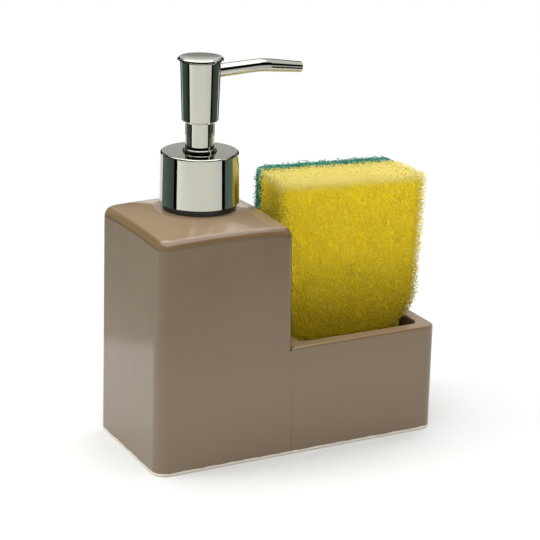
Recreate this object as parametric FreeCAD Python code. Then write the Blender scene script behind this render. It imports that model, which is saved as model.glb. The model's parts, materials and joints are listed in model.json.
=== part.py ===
import FreeCAD, Part
import math
import os

# A ceramic washing-up caddy: a square bottle with a lotion pump, and a lower tray that holds a sponge.
# Millimetres. The origin is the middle of the base, X runs along the front from bottle to tray,
# Y runs from front to back and Z is up. Sizes that fit together are worked out from those below.

# Clearances
fit_clearance = 0.05        # pressed or glued joints and close sliding fits
running_clearance = 0.1     # stem in its guide
seat_clearance = 0.3        # between pieces that move apart
thread_clearance = 0.35     # radial and axial room in the screw thread
same_place = 1e-4           # edges nearer than this to a height or a line lie on it

# Ceramic bottle and tray
overall_length = 131.2
caddy_depth = 61.5
bottle_width = 61.4         # at the base
bottle_height = 99.0        # at the edges of the roof
roof_crown = 5.8            # rise of the roof's middle above its edges
mouth_offset = 1.4          # from the roof's middle to the mouth, towards the tray
tray_height = 47.3
left_lean = 0.013           # slope by which the bottle's left end leans in
right_lean = 0.02
bottle_wall = 5.6
tray_wall = 6.3
floor_thickness = 6.0
corner_radius = 5.5         # upright outer edges
seam_corner_radius = 3.2    # the bottle's upright edges over the seam
pocket_corner_radius = 3.5  # upright inner edges
roof_edge_radius = 4.2
rim_outer_radius = 1.2
rim_inner_radius = 0.8
joint_edge_radius = 0.6     # edges along the seam between bottle and tray
foot_edge_radius = 0.8
foot_width = 6.0
foot_recess = 1.2

# Neck adapter cemented into the bottle's mouth
flange_radius = 15.0
flange_thickness = 2.39
flange_land = 0.4           # flat ceramic left outside the flange
spigot_radius = 13.1
spigot_length = 9.0
neck_radius = 12.5          # core under the thread
neck_bore_radius = 10.6
thread_pitch = 4.0
thread_depth = 0.9
thread_root_width = 1.7
thread_crest_width = 0.9
thread_turns = 1.25
thread_root_overlap = 0.3   # how far a thread ridge is sunk into its wall

# Screw collar
collar_height = 21.05
collar_bottom_radius = 16.4
collar_top_radius = 16.0
collar_edge_radius = 0.8
shell_top_thickness = 1.2
nut_radius = 14.6
nut_top_thickness = 1.9

# Pump housing, guide, gasket and dip tube
gasket_thickness = 1.0
housing_flange_radius = 12.2
housing_flange_thickness = 1.6
housing_bore_radius = 8.6
housing_wall = 1.2
housing_length = 42.0       # from the flange's underside to the chamber's floor
nose_radius = 5.2
lip_thickness = 1.0
lip_radius = 2.5
tube_socket_depth = 9.0
tube_radius = 3.0
tube_bore_radius = 2.1
tube_floor_gap = 3.0        # from the dip tube's end to the bottle's floor
guide_flange_radius = 11.4
guide_flange_thickness = 1.6
guide_skirt_length = 9.0
guide_boss_radius = 6.75
guide_boss_rounding = 0.55
guide_boss_height = 1.3     # above the collar

# Ball valves
inlet_ball_radius = 3.0
inlet_pocket_radius = 3.6
inlet_bore_radius = 1.9
inlet_lift = 1.5
inlet_channel = 2.0         # straight bore between the ball's seat and the dip tube
outlet_ball_radius = 2.8
outlet_lift = 1.2

# Plunger and head
pump_stroke = 10.0
stroke_margin = 0.8         # gap left over the guide at full stroke
stem_radius = 5.95
stem_bore_radius = 5.15
stem_overlap = 1.0          # guide left below the stem's end
rod_radius = 3.2
rod_bore_radius = 1.8
rod_foot_radius = 4.2
rod_foot_height = 1.6
piston_height = 6.0
piston_lip_height = 1.8
piston_lip_width = 0.9
piston_web_radius = 6.4
head_height = 25.4
head_bottom_radius = 7.45
head_top_radius = 8.25
head_chamfer = 0.8          # at the lower edge
head_edge_radius = 0.8      # at the upper edge
head_bore_radius = 6.4
head_lip_thickness = 1.5
cap_radius = 9.4
cap_side_height = 0.6
cap_side_lean = 0.2
cap_bevel_height = 0.5
cap_bevel_width = 0.6
cap_dish_border = 0.2       # flat left round the dish
cap_dish_depth = 0.45
cap_spigot_length = 1.5
core_spigot_length = 9.0
core_shoulder_height = 11.2  # from the head's lower edge to the core's shoulder
bypass_slot_width = 1.4
bypass_slot_depth = 1.2

# Spout
spout_drop = 5.55           # from the head's top to the spout's line at the pump's axis
spout_rise_angle = 2.7
spout_fall_angle = 7.0
spout_bend_radius = 40.0
spout_first_run = 24.0
spout_last_run = 14.7
spout_root_radius = 2.85
spout_bend_tube_radius = 2.7
spout_tip_radius = 2.25
liner_radius = 1.6
liner_bore_radius = 1.05
liner_setback = 0.4         # from the spout's tip to the liner's end

# Return spring
spring_wire_radius = 0.5
spring_radius = 6.2
spring_turns = 7

# Sponge with its scouring pad
sponge_top_height = 111.7
sponge_spread = 8.2         # how much wider than the tray's pocket it swells above the rim
sponge_squeeze = 5.2        # room that the squeezed foot leaves in the tray's length
sponge_thickness = 23.8
pad_thickness = 6.5
sponge_turn = 7.4           # degrees, clockwise seen from above
sponge_lean = 2.3           # shift of the upper part towards the tray's end
sponge_swell_height = 45.0  # from the tray's rim to the sponge's full width

# Places worked out from the sizes above
half_depth = caddy_depth / 2
left_x = -overall_length / 2
right_x = overall_length / 2
seam_x = left_x + bottle_width
shoulder_z = tray_height - rim_outer_radius
roof_left_x = left_x + left_lean * bottle_height
roof_right_x = seam_x - right_lean * (bottle_height - shoulder_z)
axis_x = (roof_left_x + roof_right_x) / 2 + mouth_offset
seat_radius = flange_radius + flange_land + mouth_offset
roof_half = min(roof_right_x - roof_left_x, caddy_depth) / 2
seat_z = bottle_height + roof_crown * (1 - (seat_radius / roof_half) ** 2)
mouth_radius = spigot_radius + seat_clearance

flange_top_z = seat_z + flange_thickness
collar_bottom_z = flange_top_z + seat_clearance
collar_top_z = collar_bottom_z + collar_height
nut_top_z = collar_top_z - shell_top_thickness
nut_inner_z = nut_top_z - nut_top_thickness
guide_top_z = nut_inner_z - fit_clearance
guide_seat_z = guide_top_z - guide_flange_thickness
housing_seat_z = guide_seat_z - housing_flange_thickness
neck_top_z = housing_seat_z - gasket_thickness
nut_bore_radius = neck_radius + thread_depth + thread_clearance

guide_bore_radius = stem_radius + running_clearance
guide_bottom_z = guide_seat_z - guide_skirt_length
boss_top_z = collar_top_z + guide_boss_height
collar_hole_radius = guide_boss_radius + seat_clearance

chamber_floor_z = housing_seat_z - housing_length
pocket_top_z = chamber_floor_z - lip_thickness
inlet_ball_z = pocket_top_z - inlet_lift - running_clearance - inlet_ball_radius
inlet_apex_z = inlet_ball_z - (inlet_ball_radius + running_clearance) * math.sqrt(2)
tube_top_z = inlet_apex_z + inlet_bore_radius - inlet_channel
nose_bottom_z = tube_top_z - tube_socket_depth
tube_bottom_z = floor_thickness + tube_floor_gap

head_bottom_z = boss_top_z + pump_stroke + stroke_margin
head_top_z = head_bottom_z + head_height
cap_top_z = head_top_z + cap_side_height + cap_bevel_height
core_shoulder_z = head_bottom_z + core_shoulder_height
core_top_z = head_top_z - cap_spigot_length - fit_clearance
stem_bottom_z = guide_bottom_z + stem_overlap
piston_top_z = guide_bottom_z - seat_clearance
piston_bottom_z = piston_top_z - piston_height
rod_top_z = core_shoulder_z
rod_bottom_z = piston_bottom_z - rod_foot_height
outlet_apex_z = rod_top_z - rod_radius + seat_clearance
outlet_ball_z = outlet_apex_z + (outlet_ball_radius + running_clearance) * math.sqrt(2)
outlet_chamber_top_z = outlet_ball_z + outlet_ball_radius + outlet_lift + running_clearance
spout_z = head_top_z - spout_drop

pocket_left_x = seam_x + tray_wall
pocket_right_x = right_x - tray_wall
pocket_half_depth = half_depth - tray_wall
sponge_x = (pocket_left_x + pocket_right_x) / 2
sponge_width = pocket_right_x - pocket_left_x + sponge_spread
sponge_foot_width = pocket_right_x - pocket_left_x - sponge_squeeze
sponge_bottom_z = floor_thickness + seat_clearance
sponge_front_y = -(sponge_thickness + pad_thickness) / 2
pad_front_y = sponge_front_y + sponge_thickness
pad_back_y = pad_front_y + pad_thickness

UP = FreeCAD.Vector(0, 0, 1)
AXIS = FreeCAD.Vector(axis_x, 0, 0)


def vector(x, y, z):
    return FreeCAD.Vector(x, y, z)


def rounded_outline(x_range, y_range, left_radius, right_radius, z):
    """A closed outline in a level plane, whose left and right corners have their own radii."""
    x0, x1 = x_range
    y0, y1 = y_range
    corners = [
        (x0, y0, left_radius, 180),
        (x1, y0, right_radius, 270),
        (x1, y1, right_radius, 0),
        (x0, y1, left_radius, 90),
    ]
    arcs = []
    for x, y, radius, start in corners:
        inwards_x = math.copysign(radius, (x0 + x1) / 2 - x)
        inwards_y = math.copysign(radius, (y0 + y1) / 2 - y)
        centre = vector(x + inwards_x, y + inwards_y, z)
        arcs.append(Part.makeCircle(radius, centre, UP, start, start + 90))
    edges = []
    for arc, following in zip(arcs, arcs[1:] + arcs[:1]):
        edges.append(arc)
        edges.append(Part.makeLine(arc.lastVertex(True).Point, following.firstVertex(True).Point))
    return Part.Wire(edges)


def prism(x_range, y_range, z_range, left_radius, right_radius):
    """An upright block with rounded corners."""
    outline = rounded_outline(x_range, y_range, left_radius, right_radius, z_range[0])
    return Part.Face(outline).extrude(UP * (z_range[1] - z_range[0]))


def turned(points):
    """A solid turned about the pump's axis from a closed outline of (radius, height) points."""
    outline = Part.makePolygon([vector(axis_x + r, 0, z) for r, z in points + points[:1]])
    return Part.Face(outline).revolve(AXIS, UP, 360)


def rod(radius, z_range):
    """A cylinder on the pump's axis."""
    return Part.makeCylinder(radius, z_range[1] - z_range[0], vector(axis_x, 0, z_range[0]))


def pipe(radius, bore, z_range):
    """A tube on the pump's axis."""
    return rod(radius, z_range).cut(rod(bore, z_range))


def cone(low_radius, high_radius, z_range):
    """A cone on the pump's axis."""
    return Part.makeCone(low_radius, high_radius, z_range[1] - z_range[0], vector(axis_x, 0, z_range[0]))


def tapered_run(start_radius, end_radius, length, start, along):
    """A straight run between two radii, which may be equal."""
    if start_radius == end_radius:
        return Part.makeCylinder(start_radius, length, start, along)
    return Part.makeCone(start_radius, end_radius, length, start, along)


def ball(radius, z):
    return Part.makeSphere(radius, vector(axis_x, 0, z))


def level_edges(shape, z):
    """The edges that lie wholly at one height."""
    flat = [e for e in shape.Edges if abs(e.BoundBox.ZMax - z) < same_place]
    return [e for e in flat if abs(e.BoundBox.ZMin - z) < same_place]


def leaning_prism(low_x, high_x, y_range, z_range, left_radius, right_radius):
    """A block with rounded corners, whose ends lean from one span at its foot to another at its top."""
    y0, y1 = y_range
    z0, z1 = z_range
    corners = [(low_x[0], z0), (low_x[1], z0), (high_x[1], z1), (high_x[0], z1)]
    outline = Part.makePolygon([vector(x, y0, z) for x, z in corners + corners[:1]])
    block = Part.Face(outline).extrude(vector(0, y1 - y0, 0))
    middle_x = sum(low_x) / 2
    for side, radius in ((-1, left_radius), (1, right_radius)):
        upright = [e for e in block.Edges if e.BoundBox.ZLength > same_place]
        block = block.makeFillet(radius, [e for e in upright if side * (e.CenterOfMass.x - middle_x) > 0])
    return block


def crowned(block, x_range, y_range, z_edge):
    """A block cut to a roof that rises from level edges to a soft crown.

    The roof is a patch of three by three poles, whose middle pole counts for a quarter.
    """
    x0, x1 = x_range
    y0, y1 = y_range
    roof = Part.BezierSurface()
    roof.increase(2, 2)
    for i, x in enumerate((x0, (x0 + x1) / 2, x1), 1):
        for j, y in enumerate((y0, (y0 + y1) / 2, y1), 1):
            middle = i == 2 and j == 2
            roof.setPole(i, j, vector(x, y, z_edge + (4 * roof_crown if middle else 0)))
    above = roof.toShape().extrude(UP * 5 * roof_crown)
    return block.cut(above)


def foot_cut(x_range):
    """The recess under a foot ring."""
    inner = (x_range[0] + foot_width, x_range[1] - foot_width)
    depth = half_depth - foot_width
    return prism(inner, (-depth, depth), (0, foot_recess), pocket_corner_radius, pocket_corner_radius)


def bottle_ends(z):
    """The bottle's left and right ends at a height. The right one meets the seam at the shoulder."""
    return left_x + left_lean * z, seam_x - right_lean * (z - shoulder_z)


def soap_bottle():
    """The square bottle: crowned roof, mouth for the neck adapter, and a square shoulder at the seam."""
    span = (left_x, seam_x)
    depth = (-half_depth, half_depth)
    top_z = bottle_height + 2 * roof_crown
    low_x = bottle_ends(0)
    high_x = bottle_ends(top_z)
    outer = leaning_prism(low_x, high_x, depth, (0, top_z), corner_radius, seam_corner_radius)
    outer = crowned(outer, bottle_ends(bottle_height), depth, bottle_height)
    roof = max(outer.Faces, key=lambda f: f.CenterOfMass.z)
    outer = outer.makeFillet(roof_edge_radius, roof.OuterWire.Edges)
    beyond_seam = Part.makeBox(bottle_width, caddy_depth, shoulder_z, vector(seam_x, -half_depth, 0))
    shoulder_x = (axis_x, seam_x)
    shoulder = prism(shoulder_x, depth, (0, shoulder_z), joint_edge_radius, joint_edge_radius)
    outer = outer.cut(beyond_seam).fuse(shoulder).removeSplitter()
    outer = outer.makeFillet(foot_edge_radius, level_edges(outer, 0))
    inner_depth = half_depth - bottle_wall
    inner_span = (left_x + bottle_wall, seam_x - bottle_wall)
    inner_depths = (-inner_depth, inner_depth)
    inner_z = (floor_thickness, top_z)
    cavity = prism(inner_span, inner_depths, inner_z, pocket_corner_radius, pocket_corner_radius)
    cavity = crowned(cavity, inner_span, inner_depths, bottle_height - bottle_wall)
    bottle = outer.cut(cavity).cut(foot_cut(span))
    bottle = bottle.cut(rod(mouth_radius, (bottle_height - 2 * bottle_wall, top_z)))
    return bottle.cut(rod(bottle_width, (seat_z, top_z)))


def sponge_tray():
    """The open tray, with a rim that is soft outside and crisp inside."""
    span = (seam_x, right_x)
    depth = (-half_depth, half_depth)
    outer = prism(span, depth, (0, tray_height), joint_edge_radius, corner_radius)
    rim = [e for e in level_edges(outer, tray_height) if e.BoundBox.XMax > seam_x + joint_edge_radius]
    outer = outer.makeFillet(rim_outer_radius, rim)
    outer = outer.makeFillet(foot_edge_radius, level_edges(outer, 0))
    pocket = prism(
        (pocket_left_x, pocket_right_x),
        (-pocket_half_depth, pocket_half_depth),
        (floor_thickness, tray_height),
        pocket_corner_radius,
        pocket_corner_radius,
    )
    pocket = pocket.makeFillet(rim_inner_radius, level_edges(pocket, floor_thickness))
    tray = outer.cut(pocket).cut(foot_cut(span))
    inner_rim = [e for e in level_edges(tray, tray_height) if e.BoundBox.XMin > pocket_left_x - same_place]
    inner_rim = [e for e in inner_rim if e.BoundBox.XMax < pocket_right_x + same_place]
    inner_rim = [e for e in inner_rim if abs(e.CenterOfMass.y) < pocket_half_depth + same_place]
    return tray.makeFillet(rim_inner_radius, inner_rim)


def thread_ridge(root, crest, start_z):
    """One start of a right-hand thread, from its root radius to its crest radius."""
    helix = Part.makeHelix(thread_pitch, thread_turns * thread_pitch, root)
    helix.translate(vector(axis_x, 0, start_z))
    sunk = root - math.copysign(thread_root_overlap, crest - root)
    outline = [
        vector(axis_x + sunk, 0, start_z - thread_root_width / 2),
        vector(axis_x + crest, 0, start_z - thread_crest_width / 2),
        vector(axis_x + crest, 0, start_z + thread_crest_width / 2),
        vector(axis_x + sunk, 0, start_z + thread_root_width / 2),
    ]
    profile = Part.makePolygon(outline + outline[:1])
    return Part.Wire(helix).makePipeShell([profile], True, True)


def neck_adapter():
    """The dark threaded neck: spigot in the ceramic mouth, flange on the roof and thread above."""
    body = turned([
        (neck_bore_radius, seat_z - spigot_length),
        (spigot_radius, seat_z - spigot_length),
        (spigot_radius, seat_z),
        (flange_radius, seat_z),
        (flange_radius, flange_top_z),
        (neck_radius, flange_top_z),
        (neck_radius, neck_top_z),
        (neck_bore_radius, neck_top_z),
    ])
    start_z = neck_top_z - thread_root_width - thread_turns * thread_pitch
    return body.fuse(thread_ridge(neck_radius, neck_radius + thread_depth, start_z))


def collar_nut():
    """The threaded cup inside the collar. Its thread lies half a pitch below the neck's."""
    cup = turned([
        (nut_bore_radius, collar_bottom_z),
        (nut_radius, collar_bottom_z),
        (nut_radius, nut_top_z),
        (collar_hole_radius, nut_top_z),
        (collar_hole_radius, nut_inner_z),
        (nut_bore_radius, nut_inner_z),
    ])
    start_z = neck_top_z - thread_root_width - (thread_turns + 0.5) * thread_pitch
    return cup.fuse(thread_ridge(nut_bore_radius, nut_bore_radius - thread_depth, start_z))


def collar_shell():
    """The bright cover pressed over the nut."""
    outside = cone(collar_bottom_radius, collar_top_radius, (collar_bottom_z, collar_top_z))
    outside = outside.makeFillet(collar_edge_radius, level_edges(outside, collar_top_z))
    inside = rod(nut_radius + fit_clearance, (collar_bottom_z, nut_top_z))
    hole = rod(collar_hole_radius, (collar_bottom_z, collar_top_z))
    return outside.cut(inside).cut(hole)


def neck_gasket():
    return pipe(housing_flange_radius, neck_bore_radius, (neck_top_z, housing_seat_z))


def pump_housing():
    """The cylinder that hangs in the bottle: flange, bore, caged inlet ball and dip tube socket."""
    outer_radius = housing_bore_radius + housing_wall
    shell = turned([
        (0, nose_bottom_z),
        (nose_radius, nose_bottom_z),
        (nose_radius, chamber_floor_z - lip_thickness - housing_wall),
        (outer_radius, chamber_floor_z - lip_thickness),
        (outer_radius, housing_seat_z),
        (housing_flange_radius, housing_seat_z),
        (housing_flange_radius, guide_seat_z),
        (0, guide_seat_z),
    ])
    bore = turned([
        (0, nose_bottom_z),
        (tube_radius + fit_clearance, nose_bottom_z),
        (tube_radius + fit_clearance, tube_top_z),
        (inlet_bore_radius, tube_top_z),
        (inlet_bore_radius, inlet_apex_z + inlet_bore_radius),
        (inlet_pocket_radius, inlet_apex_z + inlet_pocket_radius),
        (inlet_pocket_radius, pocket_top_z),
        (lip_radius, pocket_top_z),
        (lip_radius, chamber_floor_z),
        (housing_bore_radius, chamber_floor_z),
        (housing_bore_radius, guide_seat_z),
        (0, guide_seat_z),
    ])
    return shell.cut(bore)


def stem_guide():
    """The bushing that is clamped under the collar and guides the stem through its top."""
    skirt_radius = housing_bore_radius - fit_clearance
    guide = turned([
        (guide_bore_radius, guide_bottom_z),
        (skirt_radius, guide_bottom_z),
        (skirt_radius, guide_seat_z),
        (guide_flange_radius, guide_seat_z),
        (guide_flange_radius, guide_top_z),
        (guide_boss_radius, guide_top_z),
        (guide_boss_radius, boss_top_z),
        (guide_bore_radius, boss_top_z),
    ])
    boss_edge = max(level_edges(guide, boss_top_z), key=lambda e: e.BoundBox.XLength)
    return guide.makeFillet(guide_boss_rounding, [boss_edge])


def dip_tube():
    return pipe(tube_radius, tube_bore_radius, (tube_bottom_z, tube_top_z))


def helix_point(radius, pitch, turn, z):
    angle = 2 * math.pi * turn
    return vector(axis_x + radius * math.cos(angle), radius * math.sin(angle), z + pitch * turn)


def helix_direction(radius, pitch, turn):
    angle = 2 * math.pi * turn
    rise = pitch / (2 * math.pi)
    return vector(-radius * math.sin(angle), radius * math.cos(angle), rise).normalize()


def arc_from_tangent(start, corner, end):
    """The arc that leaves start towards corner and arrives at end."""
    middle = (start + end) / 2
    half_chord = (end - start).Length / 2
    height = corner - middle
    turn = math.atan2(height.Length, half_chord)
    top = middle + height.normalize() * half_chord * math.tan(turn / 2)
    return Part.Arc(start, top, end).toShape()


def biarc(start, leaving, end, arriving):
    """Two arcs that join two points smoothly in the given directions."""
    chord = end - start
    both = leaving + arriving
    bend = 2 * (1 - leaving.dot(arriving))
    along = chord.dot(both)
    reach = (math.sqrt(along ** 2 + bend * chord.dot(chord)) - along) / bend
    first = start + leaving * reach
    second = end - arriving * reach
    joint = (first + second) / 2
    return [arc_from_tangent(start, first, joint), arc_from_tangent(joint, second, end)]


def return_spring():
    """One unbroken wire, wound in quarter turns between the chamber's floor and the piston."""
    bottom = chamber_floor_z + spring_wire_radius + fit_clearance
    top = piston_bottom_z - spring_wire_radius - seat_clearance
    pitch = (top - bottom) / spring_turns
    edges = []
    for step in range(4 * spring_turns):
        a = step / 4
        b = (step + 1) / 4
        edges += biarc(
            helix_point(spring_radius, pitch, a, bottom),
            helix_direction(spring_radius, pitch, a),
            helix_point(spring_radius, pitch, b, bottom),
            helix_direction(spring_radius, pitch, b),
        )
    start = helix_point(spring_radius, pitch, 0, bottom)
    section = Part.Wire(Part.makeCircle(spring_wire_radius, start, helix_direction(spring_radius, pitch, 0)))
    return Part.Wire(edges).makePipeShell([section], True, False)


def piston_seal():
    """The cup seal on the rod, with a lip at each end."""
    outer = housing_bore_radius - fit_clearance
    return turned([
        (rod_radius + fit_clearance, piston_bottom_z),
        (piston_web_radius, piston_bottom_z),
        (piston_web_radius, piston_bottom_z + piston_lip_height),
        (outer - piston_lip_width, piston_bottom_z),
        (outer, piston_bottom_z),
        (outer, piston_top_z),
        (outer - piston_lip_width, piston_top_z),
        (piston_web_radius, piston_top_z - piston_lip_height),
        (rod_radius + fit_clearance, piston_top_z - piston_lip_height),
    ])


def piston_rod():
    """The hollow rod from the piston to the head, with a foot below and a ball seat on top."""
    seat_mouth = rod_top_z - outlet_apex_z
    return turned([
        (rod_bore_radius, rod_bottom_z),
        (rod_foot_radius, rod_bottom_z),
        (rod_foot_radius, piston_bottom_z - fit_clearance),
        (rod_radius, piston_bottom_z - fit_clearance),
        (rod_radius, rod_top_z),
        (seat_mouth, rod_top_z),
        (rod_bore_radius, outlet_apex_z + rod_bore_radius),
    ])


def stem_sleeve():
    """The bright tube round the rod that shows between collar and head."""
    return pipe(stem_radius, stem_bore_radius, (stem_bottom_z, core_shoulder_z))


def head_core():
    """The moulded core of the head: sleeve spigot, rod socket, outlet ball chamber and channel."""
    plug_radius = stem_bore_radius - fit_clearance
    body_radius = head_bore_radius - fit_clearance
    body = turned([
        (0, core_shoulder_z - core_spigot_length),
        (plug_radius, core_shoulder_z - core_spigot_length),
        (plug_radius, core_shoulder_z),
        (body_radius, core_shoulder_z),
        (body_radius, core_top_z),
        (0, core_top_z),
    ])
    socket = rod(rod_radius + fit_clearance, (core_shoulder_z - core_spigot_length, outlet_chamber_top_z))
    channel = rod(rod_bore_radius, (outlet_chamber_top_z, spout_z))
    slot = Part.makeBox(
        2 * rod_radius,
        bypass_slot_width,
        bypass_slot_depth,
        vector(axis_x - rod_radius, -bypass_slot_width / 2, outlet_chamber_top_z),
    )
    return body.cut(socket).cut(channel).cut(slot).cut(even_spout(liner_radius + fit_clearance))


def spout_path(root, bend, tip, setback):
    """A bent rod along the spout's line: a tapered run, an arc and a second tapered run."""
    rise = math.radians(spout_rise_angle)
    fall = math.radians(spout_fall_angle)
    start = vector(axis_x, 0, spout_z)
    along = vector(math.cos(rise), 0, math.sin(rise))
    bend_start = start + along * spout_first_run
    first = tapered_run(root, bend, spout_first_run, start, along)
    centre = bend_start + vector(math.sin(rise), 0, -math.cos(rise)) * spout_bend_radius
    section = Part.Face(Part.Wire(Part.makeCircle(bend, bend_start, along)))
    turn = spout_rise_angle + spout_fall_angle
    elbow = section.revolve(centre, vector(0, 1, 0), turn)
    bend_end = centre + vector(math.sin(fall), 0, math.cos(fall)) * spout_bend_radius
    away = vector(math.cos(fall), 0, -math.sin(fall))
    last = tapered_run(bend, tip, spout_last_run - setback, bend_end, away)
    return first.fuse([elbow, last])


def even_spout(radius, setback=0.0):
    """A rod of one radius along the spout's line."""
    return spout_path(radius, radius, radius, setback)


def spout_tube():
    """The bright tapered spout, set in the side of the head."""
    outside = spout_path(spout_root_radius, spout_bend_tube_radius, spout_tip_radius, 0.0)
    bore = even_spout(liner_radius + fit_clearance)
    return outside.cut(bore).cut(rod(head_bore_radius, (head_bottom_z, cap_top_z)))


def spout_liner():
    """The soap's own tube, from the core's channel to just inside the tip."""
    outside = even_spout(liner_radius, liner_setback)
    bore = even_spout(liner_bore_radius)
    return outside.cut(bore).cut(rod(rod_bore_radius, (head_bottom_z, cap_top_z)))


def head_barrel():
    """The bright tapered barrel of the head."""
    outside = turned([
        (0, head_bottom_z),
        (head_bottom_radius - head_chamfer, head_bottom_z),
        (head_bottom_radius, head_bottom_z + head_chamfer),
        (head_top_radius, head_top_z),
        (0, head_top_z),
    ])
    outside = outside.makeFillet(head_edge_radius, level_edges(outside, head_top_z))
    bore = rod(head_bore_radius, (head_bottom_z + head_lip_thickness, head_top_z))
    mouth = rod(stem_radius + fit_clearance, (head_bottom_z, head_top_z))
    spout_hole = even_spout(spout_root_radius + fit_clearance)
    return outside.cut(bore).cut(mouth).cut(spout_hole)


def head_cap():
    """The dished disc that the hand presses, with a plug in the barrel's top."""
    side_radius = cap_radius - cap_side_lean
    bevel_radius = side_radius - cap_bevel_width
    disc = turned([
        (0, head_top_z - cap_spigot_length),
        (head_bore_radius - fit_clearance, head_top_z - cap_spigot_length),
        (head_bore_radius - fit_clearance, head_top_z),
        (cap_radius, head_top_z),
        (side_radius, head_top_z + cap_side_height),
        (bevel_radius, cap_top_z),
        (0, cap_top_z),
    ])
    dish_radius = bevel_radius - cap_dish_border
    sphere_radius = (dish_radius ** 2 + cap_dish_depth ** 2) / (2 * cap_dish_depth)
    return disc.cut(ball(sphere_radius, cap_top_z + sphere_radius - cap_dish_depth))


def inlet_ball():
    return ball(inlet_ball_radius, inlet_ball_z)


def outlet_ball():
    return ball(outlet_ball_radius, outlet_ball_z)


def swell_arc(foot_x, top_x, y):
    """The side of the sponge from the tray's rim, where it is squeezed, to its full width."""
    foot = vector(foot_x, y, tray_height)
    top = vector(top_x, y, tray_height + sponge_swell_height)
    reach = ((top_x - foot_x) ** 2 + sponge_swell_height ** 2) / (2 * sponge_swell_height)
    return arc_from_tangent(foot, top - UP * reach, top)


def sponge_side(foot_x, top_x, y):
    """One side of the sponge's outline, from its foot to its top."""
    swell_top_z = tray_height + sponge_swell_height
    return [
        Part.makeLine(vector(foot_x, y, sponge_bottom_z), vector(foot_x, y, tray_height)),
        swell_arc(foot_x, top_x, y),
        Part.makeLine(vector(top_x, y, swell_top_z), vector(top_x, y, sponge_top_height)),
    ]


def sponge_slab(y_range):
    """A slab of the sponge: squeezed foot in the tray, sides that swell above the rim."""
    y = y_range[0]
    foot_left = sponge_x - sponge_foot_width / 2
    foot_right = sponge_x + sponge_foot_width / 2
    top_left = sponge_x + sponge_lean - sponge_width / 2
    top_right = sponge_x + sponge_lean + sponge_width / 2
    bottom = Part.makeLine(vector(foot_left, y, sponge_bottom_z), vector(foot_right, y, sponge_bottom_z))
    right = sponge_side(foot_right, top_right, y)
    top = Part.makeLine(vector(top_right, y, sponge_top_height), vector(top_left, y, sponge_top_height))
    left = sponge_side(foot_left, top_left, y)
    outline = Part.Wire([bottom] + right + [top] + left[::-1])
    slab = Part.Face(outline).extrude(vector(0, y_range[1] - y, 0))
    slab.rotate(vector(sponge_x, 0, 0), UP, -sponge_turn)
    return slab


def sponge_foam():
    return sponge_slab((sponge_front_y, pad_front_y))


def scouring_pad():
    return sponge_slab((pad_front_y, pad_back_y))


PIECES = [
    soap_bottle,
    sponge_tray,
    neck_adapter,
    neck_gasket,
    pump_housing,
    stem_guide,
    dip_tube,
    return_spring,
    collar_nut,
    collar_shell,
    inlet_ball,
    piston_seal,
    piston_rod,
    stem_sleeve,
    head_core,
    head_barrel,
    head_cap,
    spout_tube,
    spout_liner,
    outlet_ball,
    sponge_foam,
    scouring_pad,
]

os.makedirs("parts", exist_ok=True)
for piece in PIECES:
    shape = piece()
    name = piece.__name__
    print(name, shape.ShapeType, len(shape.Solids), round(shape.Volume, 1), shape.isValid())
    shape.exportStep(os.path.join("parts", name + ".step"))
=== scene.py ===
import json
import math

import bpy
import numpy as np
from mathutils import Euler, Matrix, Vector, noise


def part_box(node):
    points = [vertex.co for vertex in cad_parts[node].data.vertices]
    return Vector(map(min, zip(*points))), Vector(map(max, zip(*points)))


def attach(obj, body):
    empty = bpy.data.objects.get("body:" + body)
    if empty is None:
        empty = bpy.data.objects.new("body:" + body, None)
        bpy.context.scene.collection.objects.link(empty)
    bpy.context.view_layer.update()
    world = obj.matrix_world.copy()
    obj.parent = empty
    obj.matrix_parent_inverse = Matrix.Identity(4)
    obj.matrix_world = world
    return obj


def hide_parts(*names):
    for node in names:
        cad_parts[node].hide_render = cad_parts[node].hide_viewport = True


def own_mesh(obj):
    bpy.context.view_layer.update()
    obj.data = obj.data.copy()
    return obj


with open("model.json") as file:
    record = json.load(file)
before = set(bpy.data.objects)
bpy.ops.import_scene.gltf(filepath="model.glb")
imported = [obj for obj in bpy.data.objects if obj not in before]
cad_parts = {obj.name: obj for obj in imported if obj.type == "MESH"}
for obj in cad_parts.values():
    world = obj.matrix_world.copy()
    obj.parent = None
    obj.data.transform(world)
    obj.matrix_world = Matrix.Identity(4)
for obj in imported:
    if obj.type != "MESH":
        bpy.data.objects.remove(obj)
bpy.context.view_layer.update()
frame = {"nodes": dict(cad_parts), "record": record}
nodes = frame["nodes"]
scene = bpy.context.scene
scene.view_settings.view_transform = "Standard"

# Places in the part's frame, in metres
PUMP_X = -0.0334
HALF_DEPTH = 0.03075
TRAY_HEIGHT = 0.0473
RIM_RADIUS = 0.0012

# Glaze in the seam: its place, its grid of points, and how deep it lies open at some heights
SEAM_X = -0.0042
SEAM_HALF_WIDTH = 0.0007
SEAM_FOOT = 0.0009
SEAM_TOP_GAP = 0.0002
SEAM_INSET = 0.00002
SEAM_LEAST_SAG = 0.00002
SEAM_BACK_DEPTH = 0.0014
SEAM_COLUMNS = 9
SEAM_ROWS = 90
SEAM_WANDER = 0.3
SEAM_WANDER_SCALE = 180.0
SEAM_HEIGHTS = (0.0015, 0.004, 0.022, 0.036)
SEAM_DEPTHS = (0.00045, 0.00024, 0.00018, 0.00005)

# The return spring
SPRING_TURNS = 7
SPRING_WIRE_RADIUS = 0.0005
SPRING_STEPS = 24
WIRE_SIDES = 8

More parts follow.
